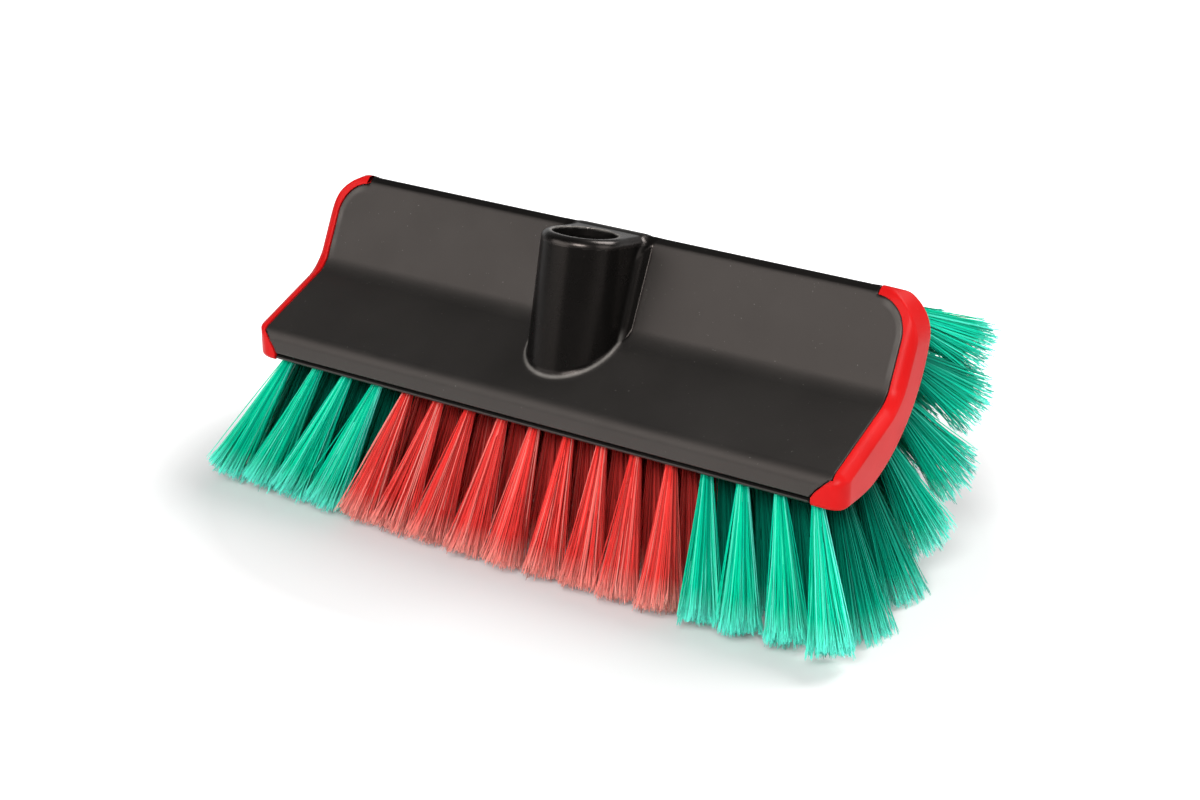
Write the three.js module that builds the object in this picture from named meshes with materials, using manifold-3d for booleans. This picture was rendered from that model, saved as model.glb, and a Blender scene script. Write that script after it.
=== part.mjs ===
// Water-fed corner brush: a bent two-part block with a pole socket, rubber end bumpers and a fan of tufts.
// Millimetres. +X runs along the brush, +Y to the rear, +Z up; the brush stands on its tufts at Z = 0.
// The block is drawn from the bottom edge of its front lip, and moved onto its footprint at the end.
import * as THREE from "three";
import { mergeVertices } from "three/addons/utils/BufferGeometryUtils.js";
import Module from "manifold-3d";

const wasm = await Module();
wasm.setup();

// Block: the profile of the cover, front to rear
const coverHalfLength = 129;
const lipHeight = 8.8;
const lipDraft = THREE.MathUtils.degToRad(4.5);
const lipRound = 6;
const frontFacet = 43;
const frontSlope = THREE.MathUtils.degToRad(21);
const valleyRound = 12;
const rearFacet = 37;
const rearSlope = THREE.MathUtils.degToRad(64);
const rearEdgeRound = 3;
const rearLipLength = 6.2;
const rearLipFall = THREE.MathUtils.degToRad(2.5);
const coverWall = 3;
const rearCornerRadius = 12.5;

// Base: the lower half, between the seam and the underside
const seamRadius = 55.5;
const baseRim = 3;
const baseSetback = 0.5;
const basePlate = 3.3;
const sliceThickness = 2;
const sliceMargin = 2.6;
const outletRadius = 1.5;
const outletColumns = 7;
const outletRows = [1.5, 3.5];
const outletSides = 8;

// Bumpers
const bumperWidth = 5.5;
const bumperRound = 2.2;
const bumperRearRadius = 17.5;
const bumperHook = 2.2;
const bumperWrap = 13;
const bumperBottomRadius = 4;
const bumperFrontRadius = 8;
const bumperFlangeReach = 7.4;
const bumperFlangeHeight = 9;
const bumperFlangeDepth = 1.8;

// Socket: mouth centre above the valley, lean to the rear, bore and boss
const socketHeight = 38.9;
const socketLean = THREE.MathUtils.degToRad(11);
const boreRadius = 12.7;
const boreDepth = 34;
const boreChamfer = 0.8;
const bossWall = 3.8;
const gussetReach = 6;
const socketFloor = 2.8;
const socketCupWall = 2.5;
const inletRadius = 5;
const washerThickness = 2.5;

// Tufts
const columnCount = 17;
const columnMargin = 9;
const greenColumns = 4;
const rowCount = 7;
const rowMargin = 8.4;
const frontLean = THREE.MathUtils.degToRad(-26);
const rearLean = THREE.MathUtils.degToRad(63);
const leanBias = 0.8;
const frontSplay = THREE.MathUtils.degToRad(20);
const rearSplay = THREE.MathUtils.degToRad(13);
const frontTuftLength = 55;
const midTuftLength = 58;
const rearTuftLength = 49;
const soleRows = [1, 2];
const soleDepth = 55.5;
const soleCut = 0.5;
const strandsPerTuft = 3;
const strandSides = 3;
const strandRootRadius = 0.7;
const strandTipRadius = 3;
const tuftRootSpread = 1.3;
const tuftTipSpread = 4.6;

// Fits and fineness
const gap = 0.3;
const arcSteps = 6;
const roundSteps = 36;
const overcut = 12;
const far = 300;

const bodyBlack = { color: 0x1c1b1c, roughness: 0.45, metalness: 0 };
const rubberRed = { color: 0xd9222a, roughness: 0.4, metalness: 0 };
const rubberBlack = { color: 0x2a2a2b, roughness: 0.7, metalness: 0 };
const filamentGreen = { color: 0x12b389, roughness: 0.4, metalness: 0 };
const filamentRed = { color: 0xe4393f, roughness: 0.4, metalness: 0 };

const point = (y, z) => new THREE.Vector2(y, z);

// Solids from closed geometry, and back

function solid(geometry) {
  const bare = geometry.clone();
  bare.deleteAttribute("normal");
  bare.deleteAttribute("uv");
  const merged = mergeVertices(bare, 1e-4);
  const triVerts = Uint32Array.from(merged.index.array);
  const vertProperties = merged.attributes.position.array;
  return new wasm.Manifold(new wasm.Mesh({ numProp: 3, vertProperties, triVerts }));
}

function geometryOf(made) {
  const { vertProperties, triVerts } = made.getMesh();
  const geometry = new THREE.BufferGeometry();
  geometry.setAttribute("position", new THREE.BufferAttribute(vertProperties, 3));
  geometry.setIndex(new THREE.BufferAttribute(triVerts, 1));
  geometry.computeVertexNormals();
  return geometry;
}

// Prisms: a Y-Z outline along X, an X-Z outline along Y and an X-Y outline along Z

const acrossX = new THREE.Matrix4().makeBasis(
  new THREE.Vector3(0, 1, 0),
  new THREE.Vector3(0, 0, 1),
  new THREE.Vector3(1, 0, 0),
);
const acrossY = new THREE.Matrix4().makeRotationX(Math.PI / 2);

function alongX(outline, from, to, bevel = { bevelEnabled: false }) {
  const geometry = new THREE.ExtrudeGeometry(new THREE.Shape(outline), { depth: to - from, ...bevel });
  geometry.translate(0, 0, from);
  return solid(geometry.applyMatrix4(acrossX));
}

function alongY(shape, from, to) {
  const options = { depth: to - from, bevelEnabled: false, curveSegments: arcSteps };
  const geometry = new THREE.ExtrudeGeometry(shape, options);
  geometry.translate(0, 0, -to);
  return solid(geometry.applyMatrix4(acrossY));
}

function alongZ(shape, from, to) {
  const options = { depth: to - from, bevelEnabled: false, curveSegments: arcSteps };
  return solid(new THREE.ExtrudeGeometry(shape, options).translate(0, 0, from));
}

// Profile of the cover: corners from the bottom of the front lip to the end of the rear lip

const onward = (from, length, rise) =>
  point(from.x + length * Math.cos(rise), from.y + length * Math.sin(rise));
const lipBottom = point(0, 0);
const lipTop = point(lipHeight * Math.tan(lipDraft), lipHeight);
const valley = onward(lipTop, frontFacet, frontSlope);
const rearEdge = onward(valley, rearFacet, rearSlope);
const rearLipEnd = onward(rearEdge, rearLipLength, -rearLipFall);
const coverCorners = [
  { at: lipBottom, radius: 0 },
  { at: lipTop, radius: lipRound },
  { at: valley, radius: valleyRound },
  { at: rearEdge, radius: rearEdgeRound },
  { at: rearLipEnd, radius: 0 },
];

const heading = (from, to) => to.clone().sub(from).normalize();
const inward = (direction) => point(direction.y, -direction.x);

// The same corners moved inwards, each on the crossing of its two moved sides
function offsetCorners(corners, inset) {
  return corners.map(({ at, radius }, i) => {
    const before = heading(corners[Math.max(i - 1, 0)].at, corners[Math.max(i, 1)].at);
    const after = heading(
      corners[Math.min(i, corners.length - 2)].at,
      corners[Math.min(i + 1, corners.length - 1)].at,
    );
    const across = inward(before).add(inward(after)).normalize();
    const moved = at.clone().addScaledVector(across, inset / across.dot(inward(before)));
    const turnsIn = before.cross(after) < 0;
    const movedRadius = turnsIn ? Math.max(radius - inset, 0) : radius + inset;
    return { at: moved, radius: radius ? movedRadius : 0 };
  });
}

function roundedPath(corners) {
  return corners.flatMap(({ at, radius }, i) => {
    if (!radius) return [at.clone()];
    const back = heading(at, corners[i - 1].at);
    const ahead = heading(at, corners[i + 1].at);
    const half = Math.acos(back.dot(ahead)) / 2;
    const centre = at.clone().addScaledVector(back.clone().add(ahead).normalize(), radius / Math.sin(half));
    const start = at.clone().addScaledVector(back, radius / Math.tan(half)).sub(centre);
    const end = at.clone().addScaledVector(ahead, radius / Math.tan(half)).sub(centre);
    const sweep = Math.atan2(start.cross(end), start.dot(end));
    return Array.from({ length: arcSteps + 1 }, (_, k) =>
      start.clone().rotateAround(point(0, 0), (sweep * k) / arcSteps).add(centre),
    );
  });
}

// Seam circle: through both lip ends, with its centre above the block

const lipSpan = rearLipEnd.clone().sub(lipBottom);
const seamRise = Math.sqrt(seamRadius ** 2 - lipSpan.lengthSq() / 4);
const seamCentre = lipBottom.clone().addScaledVector(lipSpan, 0.5);
seamCentre.addScaledVector(inward(lipSpan.clone().normalize()), -seamRise);
const undersideRadius = seamRadius + baseRim;
const leanAt = ({ x, y }) => Math.atan2(x - seamCentre.x, seamCentre.y - y);
const frontEnd = leanAt(lipBottom);
const rearEnd = leanAt(rearLipEnd);

const onCircle = (radius, lean) =>
  point(seamCentre.x + radius * Math.sin(lean), seamCentre.y - radius * Math.cos(lean));

function circlePoints(radius, from, to) {
  return Array.from({ length: roundSteps + 1 }, (_, k) =>
    onCircle(radius, from + ((to - from) * k) / roundSteps),
  );
}

function ringSector(inner, outer, from, to) {
  return [...circlePoints(inner, from, to), ...circlePoints(outer, to, from)];
}

// Limits of the block's ends, seen from the front: straight sides and round rear corners

function bumperLimit() {
  const half = coverHalfLength + bumperWidth;
  const top = rearEdge.y + gap - bumperRearRadius;
  const bottom = seamCentre.y - undersideRadius + bumperBottomRadius;
  const shape = new THREE.Shape();
  shape.absarc(half - bumperBottomRadius, bottom, bumperBottomRadius, -Math.PI / 2, 0);
  shape.absarc(half - bumperRearRadius, top, bumperRearRadius, 0, Math.PI / 2);
  shape.absarc(bumperRearRadius - half, top, bumperRearRadius, Math.PI / 2, Math.PI);
  shape.absarc(bumperBottomRadius - half, bottom, bumperBottomRadius, Math.PI, 1.5 * Math.PI);
  return alongY(shape, -far, far);
}

// The cover's own limit steps down near its ends, where the bumpers hook over the rear edge
function coreLimit(grow) {
  const half = coverHalfLength + grow;
  const wrapHalf = half - bumperWrap;
  const radius = rearCornerRadius + grow;
  const top = rearEdge.y - bumperHook + grow;
  const shape = new THREE.Shape();
  shape.moveTo(half, -far);
  shape.lineTo(half, top - radius);
  shape.absarc(half - radius, top - radius, radius, 0, Math.PI / 2);
  shape.lineTo(wrapHalf, top);
  shape.lineTo(wrapHalf, far);
  shape.lineTo(-wrapHalf, far);
  shape.lineTo(-wrapHalf, top);
  shape.absarc(radius - half, top - radius, radius, Math.PI / 2, Math.PI);
  shape.lineTo(-half, -far);
  return alongY(shape, -far, far);
}

// The bumper's flange on the front lip: a wedge that runs in along the lip towards its bottom edge
function flangeWedge(side, ease) {
  const inner = coverHalfLength - bumperFlangeReach + ease;
  const outer = coverHalfLength + bumperWidth / 2;
  const steep = bumperFlangeReach / bumperFlangeHeight;
  const shape = new THREE.Shape();
  shape.moveTo(side * inner, -overcut);
  shape.lineTo(side * outer, -overcut);
  shape.lineTo(side * outer, (outer - inner) / steep);
  shape.lineTo(side * inner, 0);
  shape.closePath();
  return alongY(shape, -overcut, bumperFlangeDepth - ease);
}

// Socket frame: mouth at the origin, +Z out of the mouth, +Y towards the rear edge

const mouth = point(valley.x, valley.y + socketHeight);
const socketFrame = new THREE.Matrix4().makeRotationX(-socketLean).setPosition(0, mouth.x, mouth.y);
const bossRadius = boreRadius + bossWall;
const cupRadius = boreRadius + socketCupWall;

function socketDisc(radius, top, bottom, topRadius = radius) {
  const geometry = new THREE.CylinderGeometry(topRadius, radius, top - bottom, roundSteps);
  geometry.rotateX(Math.PI / 2).translate(0, 0, (top + bottom) / 2);
  return solid(geometry.applyMatrix4(socketFrame));
}

function bossSolid() {
  const shape = new THREE.Shape();
  shape.moveTo(bossRadius, far);
  shape.lineTo(-bossRadius, far);
  shape.lineTo(-bossRadius, 0);
  shape.absarc(0, 0, bossRadius, Math.PI, 2 * Math.PI);
  shape.closePath();
  const options = { depth: mouth.y, bevelEnabled: false, curveSegments: roundSteps / 2 };
  const geometry = new THREE.ExtrudeGeometry(shape, options);
  geometry.translate(0, 0, -mouth.y);
  const skin = roundedPath(offsetCorners(coverCorners, coverWall / 2));
  const above = alongX([...skin, point(rearLipEnd.x, far), point(-far, far), point(-far, 0)], -far, far);
  return solid(geometry.applyMatrix4(socketFrame)).add(gussetSolid()).intersect(above);
}

// Gussets: a slanted flank on each side of the boss, down the slope of the rear facet
function gussetSolid() {
  const sunk = coverWall / 2;
  const foot = bossRadius + gussetReach + sunk;
  const head = bossRadius - sunk;
  const rise = gussetReach + sunk;
  const corners = [point(-foot, -sunk), point(foot, -sunk), point(head, rise), point(-head, rise)];
  const downSlope = new THREE.Matrix4().makeBasis(
    new THREE.Vector3(1, 0, 0),
    new THREE.Vector3(0, -Math.sin(rearSlope), Math.cos(rearSlope)),
    new THREE.Vector3(0, -Math.cos(rearSlope), -Math.sin(rearSlope)),
  );
  downSlope.setPosition(0, rearEdge.x, rearEdge.y);
  const run = { depth: rearFacet + overcut, bevelEnabled: false };
  const geometry = new THREE.ExtrudeGeometry(new THREE.Shape(corners), run);
  return solid(geometry.applyMatrix4(downSlope));
}

// Cover: a shell with end walls, open below, with the socket joined on

const coverPath = roundedPath(coverCorners);

function chamberSolid() {
  const corners = offsetCorners(coverCorners, coverWall);
  const last = corners.length - 1;
  corners[0].at.addScaledVector(heading(corners[1].at, corners[0].at), overcut);
  corners[last].at.addScaledVector(heading(corners[last - 1].at, corners[last].at), overcut);
  const beyond = point(corners[last].at.x, corners[0].at.y);
  const half = coverHalfLength - coverWall;
  return alongX([...roundedPath(corners), beyond], -half, half).intersect(coreLimit(-coverWall));
}

function coverSolid() {
  const outline = [...coverPath, ...circlePoints(seamRadius, rearEnd, frontEnd).slice(1, -1)];
  return alongX(outline, -coverHalfLength, coverHalfLength)
    .intersect(coreLimit(0))
    .subtract(chamberSolid())
    .subtract(flangeWedge(1, 0))
    .subtract(flangeWedge(-1, 0))
    .add(bossSolid())
    .add(socketDisc(cupRadius, -boreDepth, -boreDepth - socketFloor))
    .subtract(socketDisc(boreRadius, gap, -boreDepth))
    .subtract(socketDisc(boreRadius - gap, gap, -boreChamfer - gap, boreRadius + boreChamfer + gap))
    .subtract(socketDisc(inletRadius, gap - boreDepth, -mouth.y));
}

// Base: rim under the lips, plate inside them, a recess for the tufted slices and the water outlets

const plateTop = seamRadius - basePlate;
const recessTop = undersideRadius - sliceThickness - gap;
const recessHalf = coverHalfLength - sliceMargin;
const recessFront = frontEnd + sliceMargin / undersideRadius;
const recessRear = rearEnd - sliceMargin / undersideRadius;
const rowLean = (row) => {
  const margin = rowMargin / undersideRadius;
  return THREE.MathUtils.lerp(frontEnd + margin, rearEnd - margin, row / (rowCount - 1));
};
const columnPitch = (2 * (coverHalfLength - columnMargin)) / (columnCount - 1);
const columnX = (column) => (column - (columnCount - 1) / 2) * columnPitch;

function outlets() {
  const step = Math.floor((columnCount - 1) / outletColumns) * columnPitch;
  const made = outletRows.flatMap((row) =>
    Array.from({ length: outletColumns }, (_, k) => {
      const lean = rowLean(row);
      const at = onCircle(undersideRadius, lean);
      const geometry = new THREE.CylinderGeometry(outletRadius, outletRadius, 2 * overcut, outletSides);
      geometry.rotateX(Math.PI / 2 + lean);
      return solid(geometry.translate((k - (outletColumns - 1) / 2) * step, at.x, at.y));
    }),
  );
  return made.reduce((all, one) => all.add(one));
}

function baseSolid() {
  const setback = baseSetback / undersideRadius;
  const rim = ringSector(seamRadius + gap, undersideRadius, frontEnd + setback, rearEnd - setback);
  const inset = (coverWall + 2 * gap) / plateTop;
  const plate = ringSector(plateTop, undersideRadius, frontEnd + inset, rearEnd - inset);
  const plateHalf = coverHalfLength - coverWall - gap;
  const recess = ringSector(recessTop, undersideRadius + baseRim, recessFront, recessRear);
  const rimSolid = alongX(rim, -coverHalfLength, coverHalfLength).intersect(coreLimit(0));
  return alongX(plate, -plateHalf, plateHalf)
    .intersect(coreLimit(-coverWall - gap))
    .add(rimSolid)
    .subtract(alongX(recess, -recessHalf, recessHalf).intersect(coreLimit(-sliceMargin)))
    .subtract(socketDisc(cupRadius + gap, gap - boreDepth, -boreDepth - socketFloor - gap))
    .subtract(outlets())
    .subtract(flangeWedge(1, 0))
    .subtract(flangeWedge(-1, 0));
}

// Bumpers: the block's end beyond the cover, with a rounded outer edge and a flange on the front lip

function frontLimit(half, cornerRadius) {
  const front = onCircle(undersideRadius, frontEnd).x;
  const shape = new THREE.Shape();
  shape.moveTo(cornerRadius - half, front);
  shape.absarc(half - cornerRadius, front + cornerRadius, cornerRadius, -Math.PI / 2, 0);
  shape.lineTo(half, far);
  shape.lineTo(-half, far);
  shape.absarc(cornerRadius - half, front + cornerRadius, cornerRadius, Math.PI, 1.5 * Math.PI);
  return alongZ(shape, -far, far);
}

function bumperSolid(side) {
  const outline = [...coverPath, ...circlePoints(undersideRadius, rearEnd, frontEnd)];
  const half = coverHalfLength + bumperWidth;
  const bevel = { bevelThickness: bumperRound, bevelSize: bumperRound, bevelOffset: -bumperRound };
  const body = alongX(outline, bumperRound - half, half - bumperRound, { ...bevel, bevelSegments: 2 });
  const end = body.intersect(bumperLimit()).intersect(frontLimit(half, bumperFrontRadius));
  const otherHalf = new THREE.BoxGeometry(far, 2 * far, 2 * far).translate((-side * far) / 2, 0, 0);
  return end
    .subtract(coreLimit(gap))
    .add(end.intersect(flangeWedge(side, gap)))
    .subtract(solid(otherHalf));
}

// Tufts: strands fanned out of one root, on a slice of the base's underside

const soleZ = -soleDepth;
const splayAt = (row, column) => {
  const share = (2 * column) / (columnCount - 1) - 1;
  return share * THREE.MathUtils.lerp(frontSplay, rearSplay, row / (rowCount - 1));
};

function tuftDirection(row, column) {
  const lean = THREE.MathUtils.lerp(frontLean, rearLean, (row / (rowCount - 1)) ** leanBias);
  const splay = splayAt(row, column);
  return new THREE.Vector3(
    Math.sin(splay),
    Math.cos(splay) * Math.sin(lean),
    -Math.cos(splay) * Math.cos(lean),
  );
}

// Rows behind the sole shorten evenly to the rear row
function tuftLength(row) {
  const firstRear = soleRows[soleRows.length - 1] + 1;
  if (row < firstRear) return frontTuftLength;
  return THREE.MathUtils.lerp(midTuftLength, rearTuftLength, (row - firstRear) / (rowCount - 1 - firstRear));
}

function strand(row, column, index) {
  const at = onCircle(undersideRadius - sliceThickness / 2, rowLean(row));
  const root = new THREE.Vector3(columnX(column), at.x, at.y);
  const along = tuftDirection(row, column);
  const turn = 2 * Math.PI * (index / strandsPerTuft + 0.25);
  const wide = new THREE.Vector3(1, 0, 0).addScaledVector(along, -along.x).normalize();
  const spread = wide.clone().multiplyScalar(Math.cos(turn));
  spread.addScaledVector(along.clone().cross(wide), Math.sin(turn));
  const start = root.clone().addScaledVector(spread, tuftRootSpread);
  const tip = root.clone().addScaledVector(along, tuftLength(row)).addScaledVector(spread, tuftTipSpread);
  const reach = tip.clone().sub(start);
  if (soleRows.includes(row)) reach.multiplyScalar((soleZ - soleCut - start.z) / reach.z);
  const geometry = new THREE.CylinderGeometry(strandTipRadius, strandRootRadius, reach.length(), strandSides);
  const upright = new THREE.Quaternion().setFromUnitVectors(
    new THREE.Vector3(0, 1, 0),
    reach.clone().normalize(),
  );
  geometry.applyQuaternion(upright).translate(...start.clone().addScaledVector(reach, 0.5).toArray());
  return solid(geometry);
}

function bristleSolid(firstColumn, lastColumn) {
  const from = firstColumn === 0 ? gap - recessHalf : columnX(firstColumn - 0.5) + gap / 2;
  const to = lastColumn === columnCount - 1 ? recessHalf - gap : columnX(lastColumn + 0.5) - gap / 2;
  const ease = gap / undersideRadius;
  const outline = ringSector(recessTop + gap, undersideRadius, recessFront + ease, recessRear - ease);
  let made = alongX(outline, from, to).intersect(coreLimit(-sliceMargin - gap)).subtract(outlets());
  for (let column = firstColumn; column <= lastColumn; column += 1) {
    for (let row = 0; row < rowCount; row += 1) {
      for (let index = 0; index < strandsPerTuft; index += 1) made = made.add(strand(row, column, index));
    }
  }
  const ground = new THREE.BoxGeometry(2 * far, 2 * far, far).translate(0, 0, soleZ - far / 2);
  return made.subtract(solid(ground));
}

// Washer: lies on the socket's floor, round the inlet
function washerSolid() {
  const bottom = gap - boreDepth;
  return socketDisc(boreRadius - gap, bottom + washerThickness, bottom)
    .subtract(socketDisc(inletRadius, gap, -boreDepth));
}

// Assembly

const lastColumn = columnCount - 1;
const pieces = [
  ["cover_shell", coverSolid(), bodyBlack],
  ["bristle_base", baseSolid(), bodyBlack],
  ["left_bumper", bumperSolid(-1), rubberRed],
  ["right_bumper", bumperSolid(1), rubberRed],
  ["socket_washer", washerSolid(), rubberBlack],
  ["bristles_green_left", bristleSolid(0, greenColumns - 1), filamentGreen],
  ["bristles_red", bristleSolid(greenColumns, lastColumn - greenColumns), filamentRed],
  ["bristles_green_right", bristleSolid(columnCount - greenColumns, lastColumn), filamentGreen],
];

const block = new THREE.Group();
for (const [name, made, finish] of pieces) {
  const mesh = new THREE.Mesh(geometryOf(made), new THREE.MeshStandardMaterial(finish));
  mesh.name = name;
  block.add(mesh);
}
const box = new THREE.Box3().setFromObject(block);
block.position.set(0, -(box.min.y + box.max.y) / 2, -box.min.z);

const brush = new THREE.Group();
brush.add(block);

export default brush;
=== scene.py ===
"""Looks of the water-fed corner brush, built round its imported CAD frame.

Shapes are worked out in millimetres in the lip frame, whose origin is the middle of the front lip's
bottom edge, and placed in the row frame in metres.
"""

import math

import bpy
import numpy as np
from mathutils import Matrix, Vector


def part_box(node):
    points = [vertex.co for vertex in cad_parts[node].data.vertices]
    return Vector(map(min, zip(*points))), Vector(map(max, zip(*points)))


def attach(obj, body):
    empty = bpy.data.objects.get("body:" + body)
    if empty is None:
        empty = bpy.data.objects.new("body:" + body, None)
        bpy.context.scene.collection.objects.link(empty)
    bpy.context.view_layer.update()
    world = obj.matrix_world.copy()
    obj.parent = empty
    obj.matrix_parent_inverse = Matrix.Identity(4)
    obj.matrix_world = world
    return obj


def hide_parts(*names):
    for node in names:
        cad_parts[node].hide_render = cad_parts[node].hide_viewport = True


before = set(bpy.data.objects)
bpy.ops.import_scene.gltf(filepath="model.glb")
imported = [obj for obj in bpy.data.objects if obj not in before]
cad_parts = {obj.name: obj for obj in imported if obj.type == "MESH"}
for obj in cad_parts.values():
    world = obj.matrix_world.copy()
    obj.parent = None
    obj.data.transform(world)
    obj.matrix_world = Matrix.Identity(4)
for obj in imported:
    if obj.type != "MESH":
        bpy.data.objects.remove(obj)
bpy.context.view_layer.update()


def onward(start, length, degrees):
    """The point of the (y, z) profile a length further on at a slope, to a thousandth of a millimetre."""
    rise = math.radians(degrees)
    return round(start[0] + length * math.cos(rise), 3), round(start[1] + length * math.sin(rise), 3)


# Cover: sizes shared with the CAD part
SOLE_DEPTH = 55.5
LIP_PLACE = np.array([0.0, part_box("cover_shell")[0].y * 1000, SOLE_DEPTH])
LIP_HEIGHT = 8.8
LIP_SLOPE = 85.5
FRONT_FACET = 43
FRONT_SLOPE = 21
REAR_FACET = 37
REAR_SLOPE = 64
LIP_TOP = (LIP_HEIGHT / math.tan(math.radians(LIP_SLOPE)), LIP_HEIGHT)
VALLEY = onward(LIP_TOP, FRONT_FACET, FRONT_SLOPE)
REAR_EDGE = onward(VALLEY, REAR_FACET, REAR_SLOPE)
COVER_HALF = 129
REAR_CORNER = 12.5
SEAM_CENTRE = (7.80, 54.95)
SEAM_RADIUS = 55.5
GAP = 0.3

# Cover: roundings, the bevelled rear rim and the raised border along the ends
EDGE_ROUND = 0.5
VALLEY_ROUND = 3.2
LIP_ROUND = 3.4
SEAM_ROUND = 0.8
RIM_FOOT = (57.22, 57.80)
RIM_SLOPE = 34
RIM_CREST = (59.77, 59.52)
BACK_SLOPE = -25
BORDER_RISE = 0.16
BORDER_WIDTH = 3.4
BORDER_RUN = 2.4
BORDER_FADE = 6

# Cover: where it is polished or carries a painted highlight, each band by its start and run, and how much
BOSS_BLEND = 1.2
RIM_BAND = (-0.2, 0.4)
RIM_PAST_SOCKET = (19, 3)
RIM_POLISH = 0.8
BORDER_BAND = (-2.8, 0.9)
BORDER_CLIMB = (26, 10)
BORDER_END = (-12, 5)
BORDER_HIGHLIGHT_PAINT = 0.2
FOOT_BAND = (0.22, 0.4)
FOOT_PAST_FLANK = (0, 0.5)
FOOT_DESCENT = (-29, 5)
FOOT_HIGHLIGHT_PAINT = 0.7
MOUTH_EDGE_RADIUS = 13.0
MOUTH_EDGE_RUN = 0.6
MOUTH_EDGE_LEVEL = 1.3
COLUMN_TOP = -3.2

# Socket
SOCKET_HEIGHT = 38.9
SOCKET_MOUTH = onward(VALLEY, SOCKET_HEIGHT, 90)
SOCKET_LEAN = math.radians(11)
BOSS_RADIUS = 16.5
BOSS_DRAFT = 0.02
BORE_RADIUS = 12.7
BORE_DEPTH = 34
BORE_ROUND = 0.3
INLET_RADIUS = 5
INLET_DEPTH = 8
MOUTH_ROUND = 3.1
MOUTH_RING_RADIUS = 13.35
MOUTH_RING_ROUND = 0.2
BRIDGE_FALL = 0.25
BRIDGE_RUN = 8
FLANK_REACH = (3.0, 3.7)
FLANK_ROUND = 0.6
FLANK_FILLET = 2.0
FOOT_FILLET = 2.4
WING_FILLET = 0.3

# Bumpers
BUMPER_HALF = 134.5
BUMPER_PROUD = 0.45
BUMPER_TOP = 0.5
BUMPER_FRONT = 0.4
BUMPER_REAR_ROUND = 19
BUMPER_BOTTOM_ROUND = 3
BUMPER_FRONT_ROUND = {"left": 9.5, "right": 6.5}
BUMPER_EDGE_ROUND = 0.6
BUMPER_UNDER_ROUND = 2.0
BUMPER_INNER_ROUND = 0.3
CROWN_FALL = 0.11
CROWN_START = 0.4
CROWN_RUN = 6
HOOK_DROP = 0.75
HOOK_WRAP = {"left": 12.0, "right": 13.2}
FLANGE_START = {"left": 123.2, "right": 121.6}
FLANGE_HEIGHT = 8.4
FLANGE_DEPTH = 1.6
FLANGE_CURVE = 1.3
FLANGE_LIMIT = 1.5
FLANGE_STEEPNESS = 1.35

# Base
UNDERSIDE_RADIUS = 58.5
BASE_THINNING = 0.7
SEAM_WIDTH = 0.8
FRONT_END = math.radians(-8.08)
REAR_END = math.radians(91)
BASE_EDGE_ROUND = 0.6
BASE_FRONT_ROUND = 1.5
BASE_SEAM_ROUND = 0.4
HOLE_FLOOR = 56.4
HOLE_RADIUS = 2.4
HOLE_ROUND = 0.3
OUTLET_RADIUS = 1.5
OUTLET_ROUND = 0.25
OUTLET_ROWS = (1.5, 3.5)
OUTLETS_EACH_SIDE = 3

# Tufts: their places, and the splay, length, spreads and bends of each row from the front
ROWS = 7
COLUMNS = 17
GREEN_COLUMNS = 4
COLUMNS_EACH_SIDE = (COLUMNS - 1) // 2
COLUMN_STEP = 15
ROW_START = math.radians(0.15)
ROW_STEP = math.radians(13.99)
ROOT_DISTANCE = 56.6
FRONT_LEAN = math.radians(-26)
REAR_LEAN = math.radians(63)
LEAN_BIAS = 0.8
LEFT_SPLAYS = np.radians((20, 22.5, 20.5, 19, 17, 16, 15))
RIGHT_SPLAYS = np.radians((20, 17, 13.5, 15, 15.5, 15.5, 14))
TUFT_LENGTHS = (56, 56, 56, 60, 59, 56, 53)
ROOT_SPREADS = (1.65, 2.4, 2.4, 2.1, 2.1, 2.1, 2.1)
TIP_SPREADS = (8.2, 9.2, 9.2, 9.2, 9.2, 9.2, 9.0)
FORWARD_SPREADS = (1.1, 1.3, 1.3, 1.35, 1.4, 1.5, 1.6)
REAR_SPREADS = (1.1, 1.3, 1.3, 1.35, 1.4, 1.4, 0.95)
WAISTS = (0.5, 0.2, 0.2, 0.2, 0.2, 0.2, 0.2)
DEEP_SWAYS = (0.6, 1.3, 1.3, 1.3, 1.3, 1.3, 1.3)
# Painted shade for each row, darkest on the rows just behind the front one
ROW_PAINTED_SHADE = (0, 1, 1, 0.6, 0.45, 0.4, 0)
SOLE_ROWS = (1, 2)

# Tufts: how filaments vary
SEED = 41
FAN_RANGE = (0.95, 1.05)
FAN_CURVE = 0.9
STRAY_SHARE = 0.025
STRAY_REACH = 2.6
STRAY_FALL = 0.25
TIP_DRIFT = 0.68
WIDE_SWAY = 0.6
LAST_ROW_SWAY = (0.6, 0.3)
LENGTH_JITTER = 0.55
BOW = 0.35
GROUND_GAP = 0.25
GROUND_JITTER = 0.5
LEAST_DROP = 5

# Filaments: a stem with three split hairs at its tip
FILAMENTS = 240
TUBE_SIDES = 3
STEM_SHARES = np.array([0, 0.25, 0.5, 0.75, 0.94])
STEM_RADII = 0.24 * np.array([1, 1, 1, 1, 0.8])
HAIRS = 3
HAIR_SHARES = np.array([0.91, 1.0])
HAIR_RADII = np.array([0.15, 0.1])
HAIR_SPREAD = 0.42
HAIR_GAP = 0.12
# Back rows' tone is scaled down: fewer painted glints and a little painted shade
BACK_ROW_PAINTED_DIMMING = 0.82

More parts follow.
